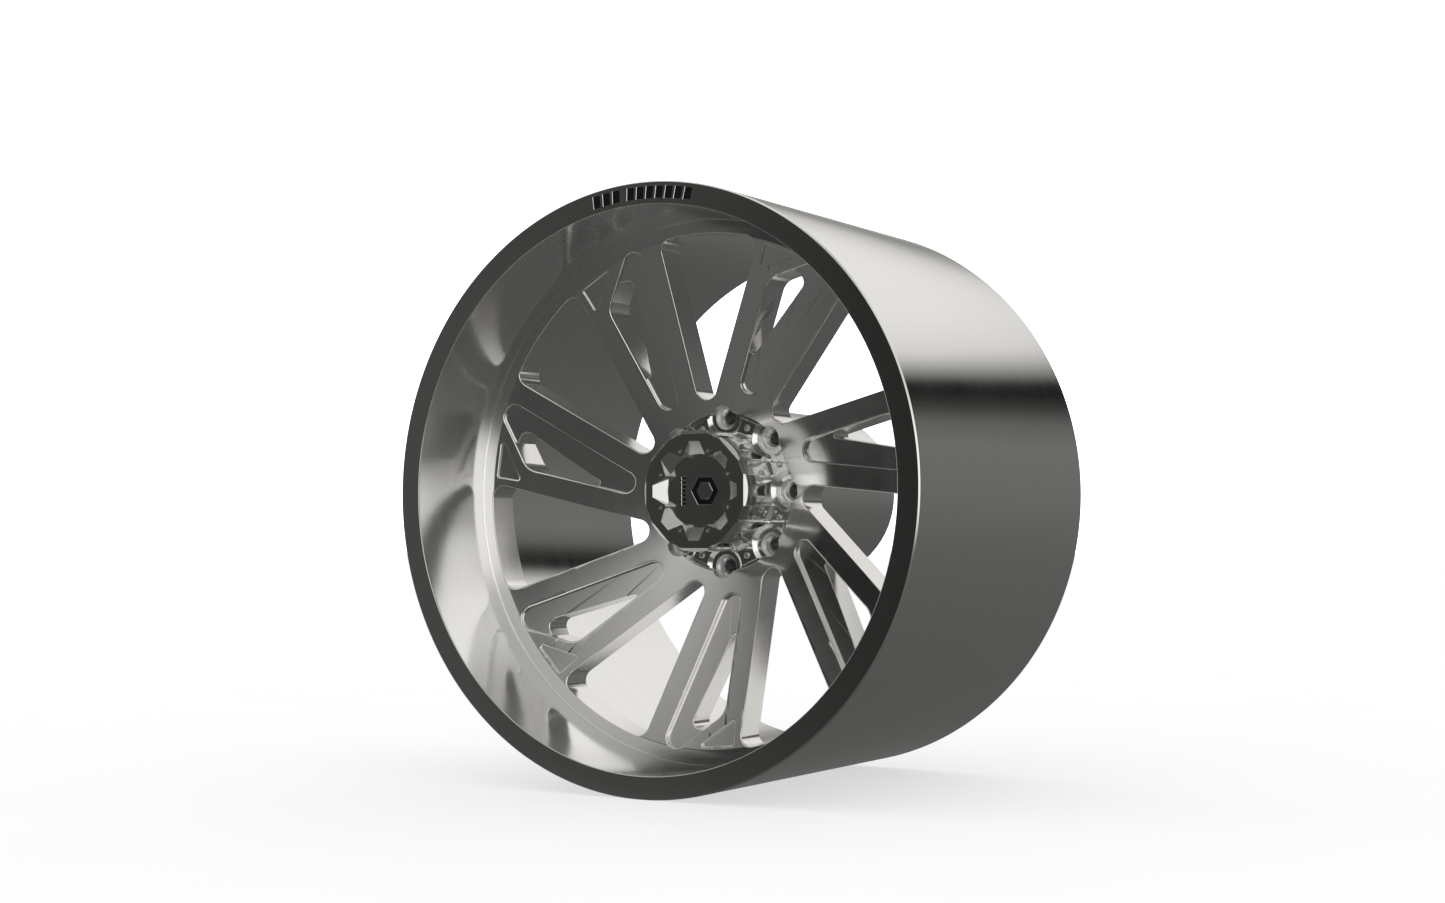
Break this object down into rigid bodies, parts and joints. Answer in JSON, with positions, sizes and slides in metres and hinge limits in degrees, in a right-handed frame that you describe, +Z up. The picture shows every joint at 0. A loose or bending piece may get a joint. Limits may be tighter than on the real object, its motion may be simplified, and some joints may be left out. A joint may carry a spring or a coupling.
{
  "type": "wheel rim",
  "caption": "Deep-dish forged light-alloy wheel rim with directional twin spokes, a long hub boss, a bolted-on tall centre cap and a bolt-in tyre valve.",
  "frame": {"origin": "centre of the hub bore on the mounting face", "axes": "+Y along the axle toward the vehicle, so the street side with the lip and the cap faces -Y; +Z up with the wheel standing on its rim; +X to the right when the street side is looked at"},
  "size_m": [0.645, 0.418, 0.6448],
  "materials": {
    "barrel": "polished",
    "disc": "satin",
    "weld": "as welded",
    "seat_steel": "turned",
    "insert_steel": "turned",
    "cap_metal": "bright",
    "cap_dark": "bright",
    "black_enamel": "gloss",
    "screw_steel": "bright",
    "seal_rubber": "matt",
    "valve_metal": "bright",
    "brass": "turned",
    "cap_plastic": "moulded"
  },
  "bodies": {
    "wheel": {"barrel": "barrel", "spoke_disc": "disc", "weld_bead": "weld", "lug_seats": "seat_steel", "cap_thread_inserts": "insert_steel", "lip_mark_inlay": "black_enamel", "valve_stem": "valve_metal", "valve_seal": "seal_rubber", "valve_washer": "valve_metal", "valve_nut": "valve_metal", "valve_core": "brass"},
    "centre_cap": {"cap_tower": "cap_metal", "cap_star_plate": "cap_dark", "cap_badge": "cap_dark", "cap_badge_inlay": "black_enamel", "cap_flange_screws": "screw_steel", "cap_plate_screws": "screw_steel", "cap_seal_ring": "seal_rubber"},
    "valve_pin_body": {"valve_pin": "brass"},
    "valve_cap_body": {"valve_cap": "cap_plastic", "valve_cap_seal": "seal_rubber"}
  },
  "joints": [
    {"name": "centre_cap_off", "type": "slide", "parent": "wheel", "child": "centre_cap", "axis": [0, -1, 0], "range_m": [0, 0.15]},
    {"name": "valve_pin_press", "type": "slide", "parent": "wheel", "child": "valve_pin_body", "axis": [-0.9205, 0, 0.3907], "range_m": [0, 0.0015], "stiffness_N_per_m": 1500},
    {"name": "valve_cap_off", "type": "slide", "parent": "wheel", "child": "valve_cap_body", "axis": [0.9205, 0, -0.3907], "range_m": [0, 0.03]}
  ]
}
